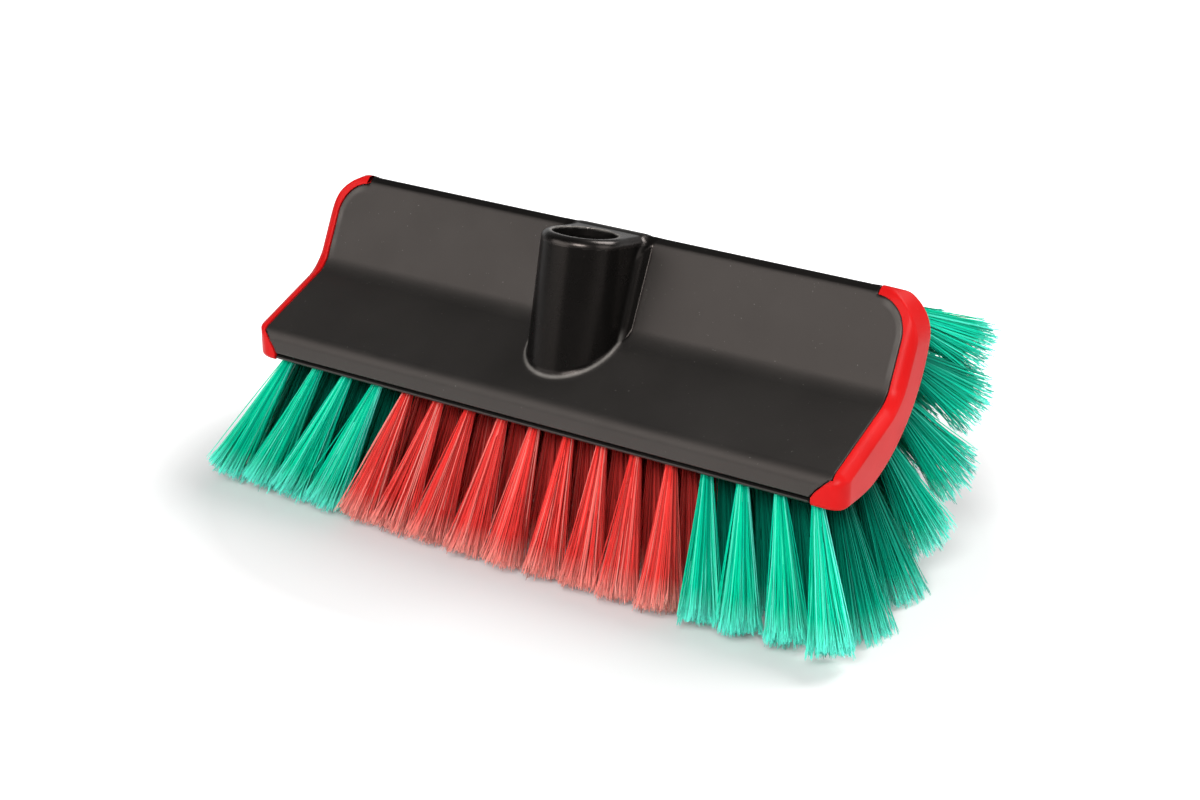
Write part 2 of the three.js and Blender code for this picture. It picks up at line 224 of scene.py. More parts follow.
# Grids that the fields are sampled on: stretches of (start, end, step) along X, Y and Z
COVER_GRID = (
    ((-130, -111, 0.66), (-111, -27, 3.4), (-27, 27, 0.66), (27, 111, 3.4), (111, 130, 0.66)),
    ((-1.2, 65, 0.61),),
    ((-2, 66, 0.61),),
)
BASE_GRID = (((-130, 130, 0.8),), ((-2, 68, 0.8),), ((-5, 59, 0.8),))
RIGHT_BUMPER_GRID = (((112, 136, 0.42),), ((-2, 68, 0.48),), ((-6, 60, 0.48),))
LEFT_BUMPER_GRID = (((-136, -118, 0.42),), ((-2, 68, 0.48),), ((-6, 60, 0.48),))
GRADIENT_STEP = 0.01
PROJECTIONS = 4
LARGEST_MOVE = 0.3
LEAST_SLOPE = 0.05

# Finishes, with linear colours
BLACK = (0, 0, 0)
WHITE = (1, 1, 1)
BLACK_CLOUDS = ((0.0125, 0.0119, 0.0112), (0.0175, 0.0165, 0.0155))
PALE_SPECK = (0.16, 0.15, 0.14)
# Pale grey for the painted highlights on the cover
HIGHLIGHT_PAINT_GREY = (0.25, 0.235, 0.217)
WARM_GLOSS = (1, 0.86, 0.79)
SATIN_GLOSS = 0.54
SOCKET_GLOSS = 0.2
RED_CLOUDS = ((0.57, 0.008, 0.008), (0.66, 0.012, 0.012))
SCUFFED_RED = (0.72, 0.12, 0.1)
RUBBER_GLOSS = 0.09
BLOOM = ((0.018, 0.018, 0.018), (0.04, 0.039, 0.038))
FILAMENT_GLOSS = 0.06
# Each filament colour: deep is painted shade at the root, then the body, a paler tip, and two levels of
# painted shade for the inner rows
GREEN_FILAMENT = {
    "deep": (0.001, 0.6, 0.38),
    "body": (0.004, 0.78, 0.5),
    "tip": (0.19, 1.0, 0.84),
    "painted_shade_levels": (0.5, 0.18),
}
RED_FILAMENT = {
    "deep": (0.8, 0.035, 0.03),
    "body": (1.0, 0.088, 0.076),
    "tip": (1.0, 0.43, 0.37),
    "painted_shade_levels": (0.75, 0.58),
}
GRAIN_HEIGHT = 0.0002

# Stage in metres and watts: a lamp has a name, place, aim, size and power
FLOOR_CORNERS = ((-1.6, -0.5, 0), (1.6, -0.5, 0), (1.6, 2.4, 0), (-1.6, 2.4, 0))
FLOOR_GREY = 0.78
FADE_STRIP_HALF = 0.04
LAMPS = (
    ("front", (-0.82, -1.25, 0.63), (0, 0, 0.06), (1.5, 1.1), 11.6),
    ("key", (0.45, -1.15, 0.95), (0, 0, 0.04), (0.7, 0.5), 18.5),
    ("overhead", (0.4, 0.75, 1.12), (0, 0, 0.03), (0.7, 0.7), 13),
    ("right", (1.25, 0.05, 0.6), (0, 0, 0.05), (0.8, 0.8), 3.5),
)
CAMERA_PLACE = (0.4667, -0.7005, 0.4089)
CAMERA_AIM = (0.02155, -0.02631, 0.0627)
CAMERA_LENS = 70.17
SENSOR_WIDTH = 36


# Fields: negative inside a solid, in millimetres

def round_both(a, b, ease):
    """Inside both solids, with their shared edge rounded over."""
    over = np.hypot(np.maximum(ease + a, 0), np.maximum(ease + b, 0))
    return np.minimum(-ease, np.maximum(a, b)) + over


def round_either(a, b, ease):
    """Inside one solid or the other, with a fillet between them."""
    under = np.hypot(np.maximum(ease - a, 0), np.maximum(ease - b, 0))
    return np.maximum(ease, np.minimum(a, b)) - under


def smooth(share):
    """An eased step from 0 to 1 as the share goes from 0 to 1."""
    share = np.clip(share, 0, 1)
    return share * share * (3 - 2 * share)


def by_side(x, sizes):
    """The left or the right end's size, whichever end x lies towards."""
    return np.where(x > 0, sizes["right"], sizes["left"])


def slope(y, z, at, degrees):
    """Height over a plane that runs along X through a point of the profile."""
    rise = math.radians(degrees)
    return (z - at[1]) * math.cos(rise) - (y - at[0]) * math.sin(rise)


def seam_distance(y, z):
    """Distance from the axis of the arc that the seam and the underside share."""
    return np.hypot(y - SEAM_CENTRE[0], z - SEAM_CENTRE[1])


def rim(y, z):
    """The rear edge: a narrow bevel up to a crest, and a fall behind it."""
    bevel = slope(y, z, RIM_FOOT, RIM_SLOPE)
    return round_both(bevel, slope(y, z, RIM_CREST, BACK_SLOPE), EDGE_ROUND)


def skin(y, z):
    """The cover's outer profile: lip, front facet, rear facet and rear edge."""
    front = slope(y, z, VALLEY, FRONT_SLOPE)
    facets = round_either(front, slope(y, z, VALLEY, REAR_SLOPE), VALLEY_ROUND)
    lipped = round_both(facets, slope(y, z, (0, 0), LIP_SLOPE), LIP_ROUND)
    return round_both(lipped, rim(y, z), EDGE_ROUND)


def rounded_end(x, z, grow=0.0):
    """The block's ends seen from the front, with rounded upper corners."""
    side = np.abs(x) - COVER_HALF - grow
    top = z - REAR_EDGE[1] + HOOK_DROP - grow
    return round_both(side, top, REAR_CORNER + grow)


def core(x, z, grow=0.0):
    """The block's ends inside the bumpers, stepped down where the bumpers hook over the rear edge."""
    side = np.abs(x) - COVER_HALF - grow
    return np.minimum(rounded_end(x, z, grow), side + by_side(x, HOOK_WRAP))


def flange(x, y, z):
    """The bumper's flange on the front lip: a thin wedge with its point at the lip's bottom edge."""
    start = by_side(x, FLANGE_START)
    reach = np.abs(x) - start
    edge = (COVER_HALF - start) * np.clip(z / FLANGE_HEIGHT, 0, FLANGE_LIMIT) ** FLANGE_CURVE
    return np.maximum((edge - reach) / FLANGE_STEEPNESS, y - FLANGE_DEPTH)


def socket_axes(y, z):
    """Distances from the socket's mouth: to the rear and out along its axis."""
    dy = y - SOCKET_MOUTH[0]
    dz = z - SOCKET_MOUTH[1]
    rear = dy * math.cos(SOCKET_LEAN) - dz * math.sin(SOCKET_LEAN)
    out = dy * math.sin(SOCKET_LEAN) + dz * math.cos(SOCKET_LEAN)
    return rear, out


def boss(x, y, z):
    """The socket's outside: a round column bridged to the rear edge, and its slanted flanks."""
    rear, out = socket_axes(y, z)
    radial = np.hypot(x, rear)
    column = np.where(rear < 0, radial, np.abs(x)) - BOSS_RADIUS + BOSS_DRAFT * out
    top = out + BRIDGE_FALL * smooth(rear / BRIDGE_RUN)
    ring = round_both(radial - MOUTH_RING_RADIUS, out, MOUTH_RING_ROUND)
    post = np.minimum(round_both(column, top, MOUTH_ROUND), ring)
    post = round_both(post, slope(y, z, RIM_CREST, BACK_SLOPE), EDGE_ROUND)
    height = np.clip((z - VALLEY[1]) / (REAR_EDGE[1] - VALLEY[1]), 0, 1)
    reach = FLANK_REACH[0] + (FLANK_REACH[1] - FLANK_REACH[0]) * height
    flank = (slope(y, z, VALLEY, REAR_SLOPE) + column - reach) * math.sqrt(0.5)
    return post, round_both(flank, rim(y, z), FLANK_ROUND)


def cover(x, y, z):
    """The upper half: the bent profile and the socket, cut by the seam, the flanges and the bore."""
    ends = core(x, z)
    on_rear = smooth(slope(y, z, VALLEY, FRONT_SLOPE) / BORDER_FADE)
    shell = skin(y, z) - BORDER_RISE * smooth((ends + BORDER_WIDTH) / BORDER_RUN) * on_rear
    rear, out = socket_axes(y, z)
    radial = np.hypot(x, rear)
    post, flanks = boss(x, y, z)
    winged = round_either(post, flanks, FLANK_FILLET)
    shell = np.minimum(round_either(shell, post, FOOT_FILLET), round_either(shell, winged, WING_FILLET))
    shell = round_both(shell, ends, EDGE_ROUND)
    shell = round_both(shell, seam_distance(y, z) - SEAM_RADIUS, SEAM_ROUND)
    shell = np.maximum(shell, GAP - flange(x, y, z))
    bore = np.maximum(radial - BORE_RADIUS, -out - BORE_DEPTH)
    shell = round_both(shell, -bore, BORE_ROUND)
    inlet = np.maximum(radial - INLET_RADIUS, -out - BORE_DEPTH - INLET_DEPTH)
    return np.maximum(shell, -inlet)


def bumper(x, y, z):
    """Both bumpers: the cover's profile carried on past its ends, crowned, and hollowed for the block."""
    side = np.abs(x) - BUMPER_HALF
    ends = round_both(side, z - RIM_CREST[1] - BUMPER_TOP, BUMPER_REAR_ROUND)
    ends = round_both(ends, SEAM_CENTRE[1] - UNDERSIDE_RADIUS - z, BUMPER_BOTTOM_ROUND)
    plan = round_both(side, -BUMPER_FRONT - y, by_side(x, BUMPER_FRONT_ROUND))
    fall = CROWN_FALL * np.clip(np.abs(x) - COVER_HALF - CROWN_START, 0, CROWN_RUN) ** 2
    body = round_both(skin(y, z) - BUMPER_PROUD + fall, np.maximum(ends, plan), BUMPER_EDGE_ROUND)
    body = round_both(body, seam_distance(y, z) - UNDERSIDE_RADIUS, BUMPER_UNDER_ROUND)
    outside_block = np.minimum(-core(x, z, GAP), flange(x, y, z))
    return round_both(body, outside_block, BUMPER_INNER_ROUND)


def from_column(x, step, each_side):
    """Distance along X from the nearest of a middle column and those to each side of it."""
    return x - step * np.round(np.clip(x / step, -each_side, each_side))


def drill(solid, across, dy, dz, row, radius, ease):
    """The solid with round holes along a row, square to the underside."""
    angle = ROW_START + ROW_STEP * row
    beside = np.hypot(across, dy * math.cos(angle) + dz * math.sin(angle))
    outward = dy * math.sin(angle) - dz * math.cos(angle)
    hole = np.maximum(beside - radius, HOLE_FLOOR - outward)
    return round_both(solid, -hole, ease)


def base(x, y, z):
    """The lower half: an arc under the seam, with the tufts' holes and the water outlets."""
    distance = seam_distance(y, z)
    dy = y - SEAM_CENTRE[0]
    dz = z - SEAM_CENTRE[1]
    front = -dy * math.cos(FRONT_END) - dz * math.sin(FRONT_END)
    rear = dy * math.cos(REAR_END) + dz * math.sin(REAR_END)
    arc = round_both(distance - UNDERSIDE_RADIUS + BASE_THINNING, core(x, z), BASE_EDGE_ROUND)
    arc = round_both(round_both(arc, front, BASE_FRONT_ROUND), rear, EDGE_ROUND)
    arc = round_both(arc, SEAM_RADIUS + SEAM_WIDTH - distance, BASE_SEAM_ROUND)
    arc = np.maximum(arc, GAP - flange(x, y, z))
    across = from_column(x, COLUMN_STEP, COLUMNS_EACH_SIDE)
    for row in range(ROWS):
        arc = drill(arc, across, dy, dz, row, HOLE_RADIUS, HOLE_ROUND)
    across = from_column(x, 2 * COLUMN_STEP, OUTLETS_EACH_SIDE)
    for row in OUTLET_ROWS:
        arc = drill(arc, across, dy, dz, row, OUTLET_RADIUS, OUTLET_ROUND)
    return arc


# Meshes from fields

def gradient(field, points):
    """The field's slopes along X, Y and Z at each point."""
    columns = []
    for axis in range(3):
        shift = np.zeros(3)
        shift[axis] = GRADIENT_STEP
        ahead = field(*(points + shift).T)
        behind = field(*(points - shift).T)
        columns.append((ahead - behind) / (2 * GRADIENT_STEP))
    return np.stack(columns, axis=1)


def cell_points(values, cells, corners, axes):
    """The mean of the places where the surface crosses each cell's edges."""
    total = np.zeros((len(cells), 3))
    crossings = np.zeros(len(cells))
    for axis in range(3):
        for corner in (c for c in corners if c[axis] == 0):
            start = cells + np.array(corner)
            end = start + np.eye(3, dtype=int)[axis]
            at_start = values[tuple(start.T)]
            at_end = values[tuple(end.T)]
            crossed = (at_start < 0) != (at_end < 0)
            share = np.where(crossed, at_start / np.where(crossed, at_start - at_end, 1), 0)
            for k in range(3):
                low = axes[k][start[:, k]]
                high = axes[k][end[:, k]]
                total[:, k] += np.where(crossed, low + (high - low) * share, 0)
            crossings += crossed
    return total / crossings[:, None]


def cell_quads(inside, number, size):
    """A quad across each crossed grid edge, through the points of the four cells round it."""
    steps = np.eye(3, dtype=int)
    quads = []
    for axis in range(3):
        one, two = (axis + 1) % 3, (axis + 2) % 3
        low = np.take(inside, range(size[axis]), axis=axis)
        high = np.take(inside, range(1, size[axis] + 1), axis=axis)
        edges = np.argwhere(low != high)
        edges = edges[(edges[:, one] > 0) & (edges[:, two] > 0)]
        edges = edges[(edges[:, one] < size[one]) & (edges[:, two] < size[two])]
        outward = low[tuple(edges.T)]
        ring = [edges - steps[one] - steps[two], edges - steps[two], edges, edges - steps[one]]
        faces = np.stack([number[tuple(cell.T)] for cell in ring], axis=1)
        faces[~outward] = faces[~outward][:, ::-1]
        quads.append(faces)
    return np.concatenate(quads)


def surface_net(field, xs, ys, zs):
    """Vertices, quads and outward normals of the field's zero surface, one vertex to each crossed cell."""
    values = field(xs[:, None, None], ys[None, :, None], zs[None, None, :])
    inside = values < 0
    corners = [(i, j, k) for i in (0, 1) for j in (0, 1) for k in (0, 1)]
    size = np.array(values.shape) - 1

    def at_corner(corner):
        return inside[tuple(slice(c, c + n) for c, n in zip(corner, size))]

    count = sum(at_corner(corner).astype(np.int8) for corner in corners)
    cells = np.argwhere((count > 0) & (count < len(corners)))
    number = np.full(size, -1, dtype=np.int64)
    number[tuple(cells.T)] = np.arange(len(cells))
    points = cell_points(values, cells, corners, (xs, ys, zs))
    for _ in range(PROJECTIONS):
        push = gradient(field, points)
        reach = field(*points.T) / np.maximum((push * push).sum(axis=1), LEAST_SLOPE)
        points -= np.clip(reach, -LARGEST_MOVE, LARGEST_MOVE)[:, None] * push
    normals = gradient(field, points)
    normals /= np.maximum(np.linalg.norm(normals, axis=1), 1e-9)[:, None]
    return points, cell_quads(inside, number, size), normals


def linked(name, data):
    """A new object in the scene."""
    made = bpy.data.objects.new(name, data)
    bpy.context.scene.collection.objects.link(made)
    return made


def new_mesh(name, points, sides, corners, rounded):
    """A piece from points in the lip frame, its polygons given by their corner counts and corners."""
    mesh = bpy.data.meshes.new(name)
    mesh.vertices.add(len(points))
    mesh.loops.add(len(corners))
    mesh.polygons.add(len(sides))
    mesh.vertices.foreach_set("co", ((points + LIP_PLACE) / 1000).astype(np.float32).ravel())
    mesh.loops.foreach_set("vertex_index", corners.astype(np.int32))
    mesh.polygons.foreach_set("loop_start", np.concatenate([[0], np.cumsum(sides)[:-1]]).astype(np.int32))
    mesh.polygons.foreach_set("use_smooth", np.full(len(sides), rounded))
    mesh.update(calc_edges=True)
    mesh.validate()
    return linked(name, mesh)


def point_values(piece, label, values):
    """Keeps a value for each point, under a label that materials read."""
    layer = piece.data.attributes.new(label, "FLOAT", "POINT")
    layer.data.foreach_set("value", values.astype(np.float32))


def steps_between(stretches):
    """Grid lines through (start, end, step) stretches that follow each other."""
    lines = [np.linspace(a, b, max(2, round((b - a) / step) + 1)) for a, b, step in stretches]
    return np.unique(np.round(np.concatenate(lines), 6))


def field_piece(name, field, grid):
    """A piece with the field's surface, and its points in the lip frame."""
    points, quads, normals = surface_net(field, *(steps_between(stretches) for stretches in grid))
    piece = new_mesh(name, points, np.full(len(quads), 4), quads.ravel(), True)
    piece.data.normals_split_custom_set_from_vertices(normals)
    return piece, points


# Filaments

def tubes(paths, radii):
    """Points, walls and caps of closed tubes along paths of shape (n, m, 3), with radii of shape (m,)."""
    count, rings = paths.shape[:2]
    off_axis = np.array([0.9, 0.37, 0.21])
    heading = np.gradient(paths, axis=1)
    heading /= np.linalg.norm(heading, axis=2, keepdims=True)
    aside = np.cross(heading, off_axis)
    aside /= np.linalg.norm(aside, axis=2, keepdims=True)
    upward = np.cross(heading, aside)
    points = []
    for side in range(TUBE_SIDES):
        angle = 2 * math.pi * side / TUBE_SIDES
        offset = math.cos(angle) * aside + math.sin(angle) * upward
        points.append(paths + offset * radii[None, :, None])
    points = np.stack(points, axis=2).reshape(-1, 3)
    first = np.arange(count) * rings * TUBE_SIDES
    side = np.arange(TUBE_SIDES)
    after = (side + 1) % TUBE_SIDES
    low = first[:, None, None] + (np.arange(rings - 1) * TUBE_SIDES)[None, :, None]
    high = low + TUBE_SIDES
    walls = np.stack([low + side, low + after, high + after, high + side], axis=-1)
    starts = first[:, None] + side[::-1]
    tips = (first + (rings - 1) * TUBE_SIDES)[:, None] + side
    return points, walls.reshape(-1, 4), np.concatenate([starts, tips])


def tuft_paths(row, column, random):
    """Starts, reaches and sideways bends of one tuft's filaments."""
    angle = ROW_START + ROW_STEP * row
    share = (column - COLUMNS_EACH_SIDE) / COLUMNS_EACH_SIDE
    lean = FRONT_LEAN + (REAR_LEAN - FRONT_LEAN) * (row / (ROWS - 1)) ** LEAN_BIAS
    splay = share * (RIGHT_SPLAYS if share > 0 else LEFT_SPLAYS)[row]
    along = np.array([math.sin(splay), math.cos(splay) * math.sin(lean), -math.cos(splay) * math.cos(lean)])
    wide = np.array([1.0, 0, 0]) - along * along[0]
    wide /= np.linalg.norm(wide)
    deep = np.cross(along, wide)
    root = np.array([
        share * COLUMN_STEP * COLUMNS_EACH_SIDE,
        SEAM_CENTRE[0] + ROOT_DISTANCE * math.sin(angle),
        SEAM_CENTRE[1] - ROOT_DISTANCE * math.cos(angle),
    ])

    # Roots fill a disc in a sunflower spiral, and tips an oval that may reach further to one side
    order = np.arange(FILAMENTS) + 0.5
    radius = np.sqrt(order / FILAMENTS)
    turn = order * math.pi * (3 - math.sqrt(5)) + random.uniform(0, 2 * math.pi)
    disc = np.cos(turn)[:, None] * wide + np.sin(turn)[:, None] * deep
    depth = np.where(np.sin(turn) > 0, FORWARD_SPREADS[row], REAR_SPREADS[row])
    oval = np.cos(turn)[:, None] * wide + (depth * np.sin(turn))[:, None] * deep
    starts = root + disc * (radius * ROOT_SPREADS[row])[:, None]

    # Tips vary by tuft and by filament, and a few stray
    fan = random.uniform(*FAN_RANGE) * TIP_SPREADS[row]
    stray = np.where(random.random(FILAMENTS) < STRAY_SHARE, STRAY_REACH - STRAY_FALL * row, 1.0)
    drift = random.normal(0, TIP_DRIFT, (FILAMENTS, 3)) * stray[:, None]
    sway = random.normal(0, (WIDE_SWAY, DEEP_SWAYS[row]))
    if row == ROWS - 1:
        sway[1] = LAST_ROW_SWAY[0] * abs(sway[1]) + LAST_ROW_SWAY[1]
    length = TUFT_LENGTHS[row] + random.normal(0, LENGTH_JITTER, FILAMENTS)
    tips = root + along * length[:, None] + oval * (radius ** FAN_CURVE * fan)[:, None] + drift
    tips += wide * sway[0] + deep * sway[1]

    # No filament goes through the floor, and those of the sole rows all end just above it
    ground = -SOLE_DEPTH + GROUND_GAP + np.abs(random.normal(0, GROUND_JITTER, FILAMENTS))
    reach = tips - starts
    to_ground = (ground - starts[:, 2]) / np.minimum(reach[:, 2], -1e-3)
    if row not in SOLE_ROWS:
        to_ground = np.minimum(to_ground, 1)
    reach *= np.where(reach[:, 2] < -LEAST_DROP, to_ground, 1)[:, None]
    bow = random.normal(0, BOW, (FILAMENTS, 2))
    bend = bow[:, :1] * wide + bow[:, 1:] * deep - disc * (radius * WAISTS[row])[:, None]
    return starts, reach, bend


def filaments(name, tufts, random):
    """One piece of many filaments, with values for each point: reach, tone with painted glints, and painted
    shade.
    """
    paths = [tuft_paths(row, column, random) for row, column in tufts]
    starts, reaches, bends = (np.concatenate(vectors) for vectors in zip(*paths))
    count = len(starts)

    def along(shares):
        lift = 4 * shares * (1 - shares)
        return starts[:, None] + reaches[:, None] * shares[:, None] + bends[:, None] * lift[:, None]

    groups = [(STEM_SHARES, tubes(along(STEM_SHARES), STEM_RADII))]
    for _ in range(HAIRS):
        hairs = along(HAIR_SHARES)
        hairs[:, 1] += random.normal(0, HAIR_SPREAD, (count, 3))
        hairs[..., 2] = np.maximum(hairs[..., 2], HAIR_GAP - SOLE_DEPTH)
        groups.append((HAIR_SHARES, tubes(hairs, HAIR_RADII)))
    points = np.concatenate([made[0] for _, made in groups])
    offsets = np.cumsum([0] + [len(made[0]) for _, made in groups])
    walls = np.concatenate([made[1] + offset for (_, made), offset in zip(groups, offsets)])
    caps = np.concatenate([made[2] + offset for (_, made), offset in zip(groups, offsets)])
    sides = np.concatenate([np.full(len(walls), 4), np.full(len(caps), TUBE_SIDES)])
    piece = new_mesh(name, points, sides, np.concatenate([walls.ravel(), caps.ravel()]), False)

    def to_points(values):
        """Each filament's value, given to all its points."""
        return np.concatenate([np.repeat(values, TUBE_SIDES * len(shares)) for shares, _ in groups])

    reach = np.concatenate([np.tile(np.repeat(shares, TUBE_SIDES), count) for shares, _ in groups])
    front = np.repeat([row == 0 for row, _ in tufts], FILAMENTS)
    # Random tone for each filament; the palest carry a painted glint, fewer of them on the back rows
    tone_and_glint = random.random(count) * np.where(front, 1.0, BACK_ROW_PAINTED_DIMMING)
    # Painted shade on the rows behind the front one, fading out towards the tips
    painted_shade = np.repeat([ROW_PAINTED_SHADE[row] for row, _ in tufts], FILAMENTS)
    point_values(piece, "reach", reach)
    point_values(piece, "tone_and_glint", to_points(tone_and_glint))
    point_values(piece, "painted_shade", to_points(painted_shade) * (1 - reach))
    return piece


# Materials

def grey(level):
    return (level, level, level)


class Nodes:
    """A material's or a world's node tree, with its shader and short calls to add and join nodes."""

    def __init__(self, owner, shader):
        owner.use_nodes = True
        self.owner = owner
        self.tree = owner.node_tree
        self.shader = self.tree.nodes[shader]

    def add(self, kind, **settings):
        node = self.tree.nodes.new(kind)
        for key, value in settings.items():
            if key in node.inputs:
                node.inputs[key].default_value = value
            else:
                setattr(node, key, value)
        return node

    def join(self, start, end):
        self.tree.links.new(start, end)

    def uniform(self, name, value):
        self.shader.inputs[name].default_value = value

    def feed(self, name, value):
        self.join(value, self.shader.inputs[name])

    def attribute(self, label):
        return self.add("ShaderNodeAttribute", attribute_name=label).outputs["Fac"]

    def place(self, coordinates):
        """The X, Y and Z outputs of a point's place."""
        split = self.add("ShaderNodeSeparateXYZ")
        self.join(self.add("ShaderNodeTexCoord").outputs[coordinates], split.inputs[0])
        return split.outputs

    def noise(self, scale, detail=3.0, roughness=0.5):
        node = self.add("ShaderNodeTexNoise", Scale=scale, Detail=detail, Roughness=roughness)
        self.join(self.add("ShaderNodeTexCoord").outputs["Object"], node.inputs["Vector"])
        return node.outputs["Fac"]

    def ramp(self, factor, *stops):
        node = self.add("ShaderNodeValToRGB")
        steps = node.color_ramp.elements
        while len(steps) < len(stops):
            steps.new(0.5)
        for step, (at, colour) in zip(steps, stops):
            step.position = at
            step.color = (*colour, 1)
        self.join(factor, node.inputs["Fac"])
        return node.outputs["Color"]

    def mix(self, factor, first, second, blend="MIX"):
        node = self.add("ShaderNodeMix", data_type="RGBA", blend_type=blend)
        for value, socket in ((factor, node.inputs[0]), (first, node.inputs[6]), (second, node.inputs[7])):
            if hasattr(value, "links"):
                self.join(value, socket)
            else:
                socket.default_value = value if isinstance(value, float) else (*value, 1)
        return node.outputs[2]

    def math(self, operation, *values):
        node = self.add("ShaderNodeMath", operation=operation)
        for value, socket in zip(values, node.inputs):
            self.join(value, socket)
        return node.outputs[0]

    def spread(self, factor, low, high, start=0.0, end=1.0):
        """The factor's stretch from start to end, mapped to low to high and held beyond it."""
        node = self.add("ShaderNodeMapRange")
        for key, value in (("From Min", start), ("From Max", end), ("To Min", low), ("To Max", high)):
            node.inputs[key].default_value = value
        self.join(factor, node.inputs["Value"])
        return node.outputs["Result"]

    def bump(self, height, strength):
        node = self.add("ShaderNodeBump", Strength=strength, Distance=GRAIN_HEIGHT)
        self.join(height, node.inputs["Height"])
        self.feed("Normal", node.outputs["Normal"])


def material_nodes(name):
    return Nodes(bpy.data.materials.new(name), "Principled BSDF")


def moulded_black(name, gloss):
    """Satin black polypropylene with a fine grain, faint cloudiness, a few pale specks, and painted
    highlights along some edges.
    """
    nodes = material_nodes(name)
    polish = nodes.attribute("polish")
    cloud = nodes.ramp(nodes.noise(24), (0.35, BLACK_CLOUDS[0]), (0.7, BLACK_CLOUDS[1]))
    specks = nodes.ramp(nodes.noise(900, 1.0), (0.765, BLACK), (0.8, grey(0.4)))
    deep = nodes.ramp(polish, (0.0, WHITE), (1.0, grey(0.2)))
    plain = nodes.mix(1.0, nodes.mix(specks, cloud, PALE_SPECK), deep, "MULTIPLY")
    patches = nodes.spread(nodes.noise(110, 4.0), 0.55, 1.0, 0.35, 0.6)
    # Painted highlight: pale grey mixed in, in patches, along the end borders, round the socket's foot and
    # on the bore's edge
    highlight_share = nodes.math("MULTIPLY", nodes.attribute("painted_highlight"), patches)
    nodes.feed("Base Color", nodes.mix(highlight_share, plain, HIGHLIGHT_PAINT_GREY))
    satin = nodes.spread(nodes.noise(60, 5.0), 0.4, 0.52)
    nodes.feed("Roughness", nodes.math("MULTIPLY", satin, nodes.spread(polish, 1.0, 0.6)))
    nodes.bump(nodes.noise(1500, 2.0), 0.12)
    nodes.uniform("Specular IOR Level", gloss)
    nodes.uniform("Specular Tint", (*WARM_GLOSS, 1))
    return nodes.owner


def bumper_rubber():
    """Soft red rubber: smooth, a little waxy, with faint streaks and scuffs."""
    nodes = material_nodes("bumper_rubber")
    cloud = nodes.ramp(nodes.noise(45), (0.3, RED_CLOUDS[0]), (0.7, RED_CLOUDS[1]))
    scuffs = nodes.ramp(nodes.noise(420, 6.0, 0.7), (0.66, BLACK), (0.82, grey(0.2)))
    nodes.feed("Base Color", nodes.mix(scuffs, cloud, SCUFFED_RED))
    nodes.feed("Roughness", nodes.spread(nodes.noise(80, 4.0), 0.26, 0.4))
    nodes.bump(nodes.noise(700, 2.0), 0.06)
    nodes.uniform("Specular IOR Level", RUBBER_GLOSS)
    return nodes.owner


def washer_rubber():
    """Matt black rubber with a chalky bloom."""
    nodes = material_nodes("washer_rubber")
    nodes.feed("Base Color", nodes.ramp(nodes.noise(160, 5.0), (0.35, BLOOM[0]), (0.7, BLOOM[1])))
    nodes.feed("Roughness", nodes.spread(nodes.noise(240), 0.6, 0.85))
    nodes.bump(nodes.noise(1800, 2.0), 0.15)
    return nodes.owner


def filament_plastic(name, deep, body, tip, painted_shade_levels):
    """Extruded filaments, paler at the split tip, with painted shade darkening the root and the rows behind
    the front one, and painted glints on some filaments.
    """
    nodes = material_nodes(name)
    tone_and_glint = nodes.attribute("tone_and_glint")
    # Deep at the root is painted shade; the tip is paler
    length = nodes.ramp(nodes.attribute("reach"), (0.0, deep), (0.25, body), (0.8, body), (1.0, tip))
    shade = nodes.ramp(tone_and_glint, (0.0, grey(0.42)), (0.4, grey(0.95)), (1.0, grey(1.12)))
    # Painted highlight: the palest-toned filaments take the tip colour
    glint = nodes.ramp(tone_and_glint, (0.74, BLACK), (0.9, grey(0.85)))
    colour = nodes.mix(glint, nodes.mix(1.0, length, shade, "MULTIPLY"), tip)
    # Painted shade on the inner rows, strongest at the root
    painted_shade = nodes.attribute("painted_shade")
    painted_shade_factor = nodes.ramp(painted_shade, (0.0, WHITE), (0.3, grey(painted_shade_levels[0])), (0.8, grey(painted_shade_levels[1])))
    nodes.feed("Base Color", nodes.mix(1.0, colour, painted_shade_factor, "MULTIPLY"))
    nodes.feed("Roughness", nodes.spread(nodes.noise(300), 0.28, 0.42))
    nodes.uniform("Specular IOR Level", FILAMENT_GLOSS)
    return nodes.owner


# The object

def finish_piece(piece, material, slot, *nodes):
    """Gives a piece its material and its body, and hides the CAD nodes it replaces. The slot is not used.
    """
    piece.data.materials.append(material)
    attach(piece, "root")
    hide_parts(*nodes)


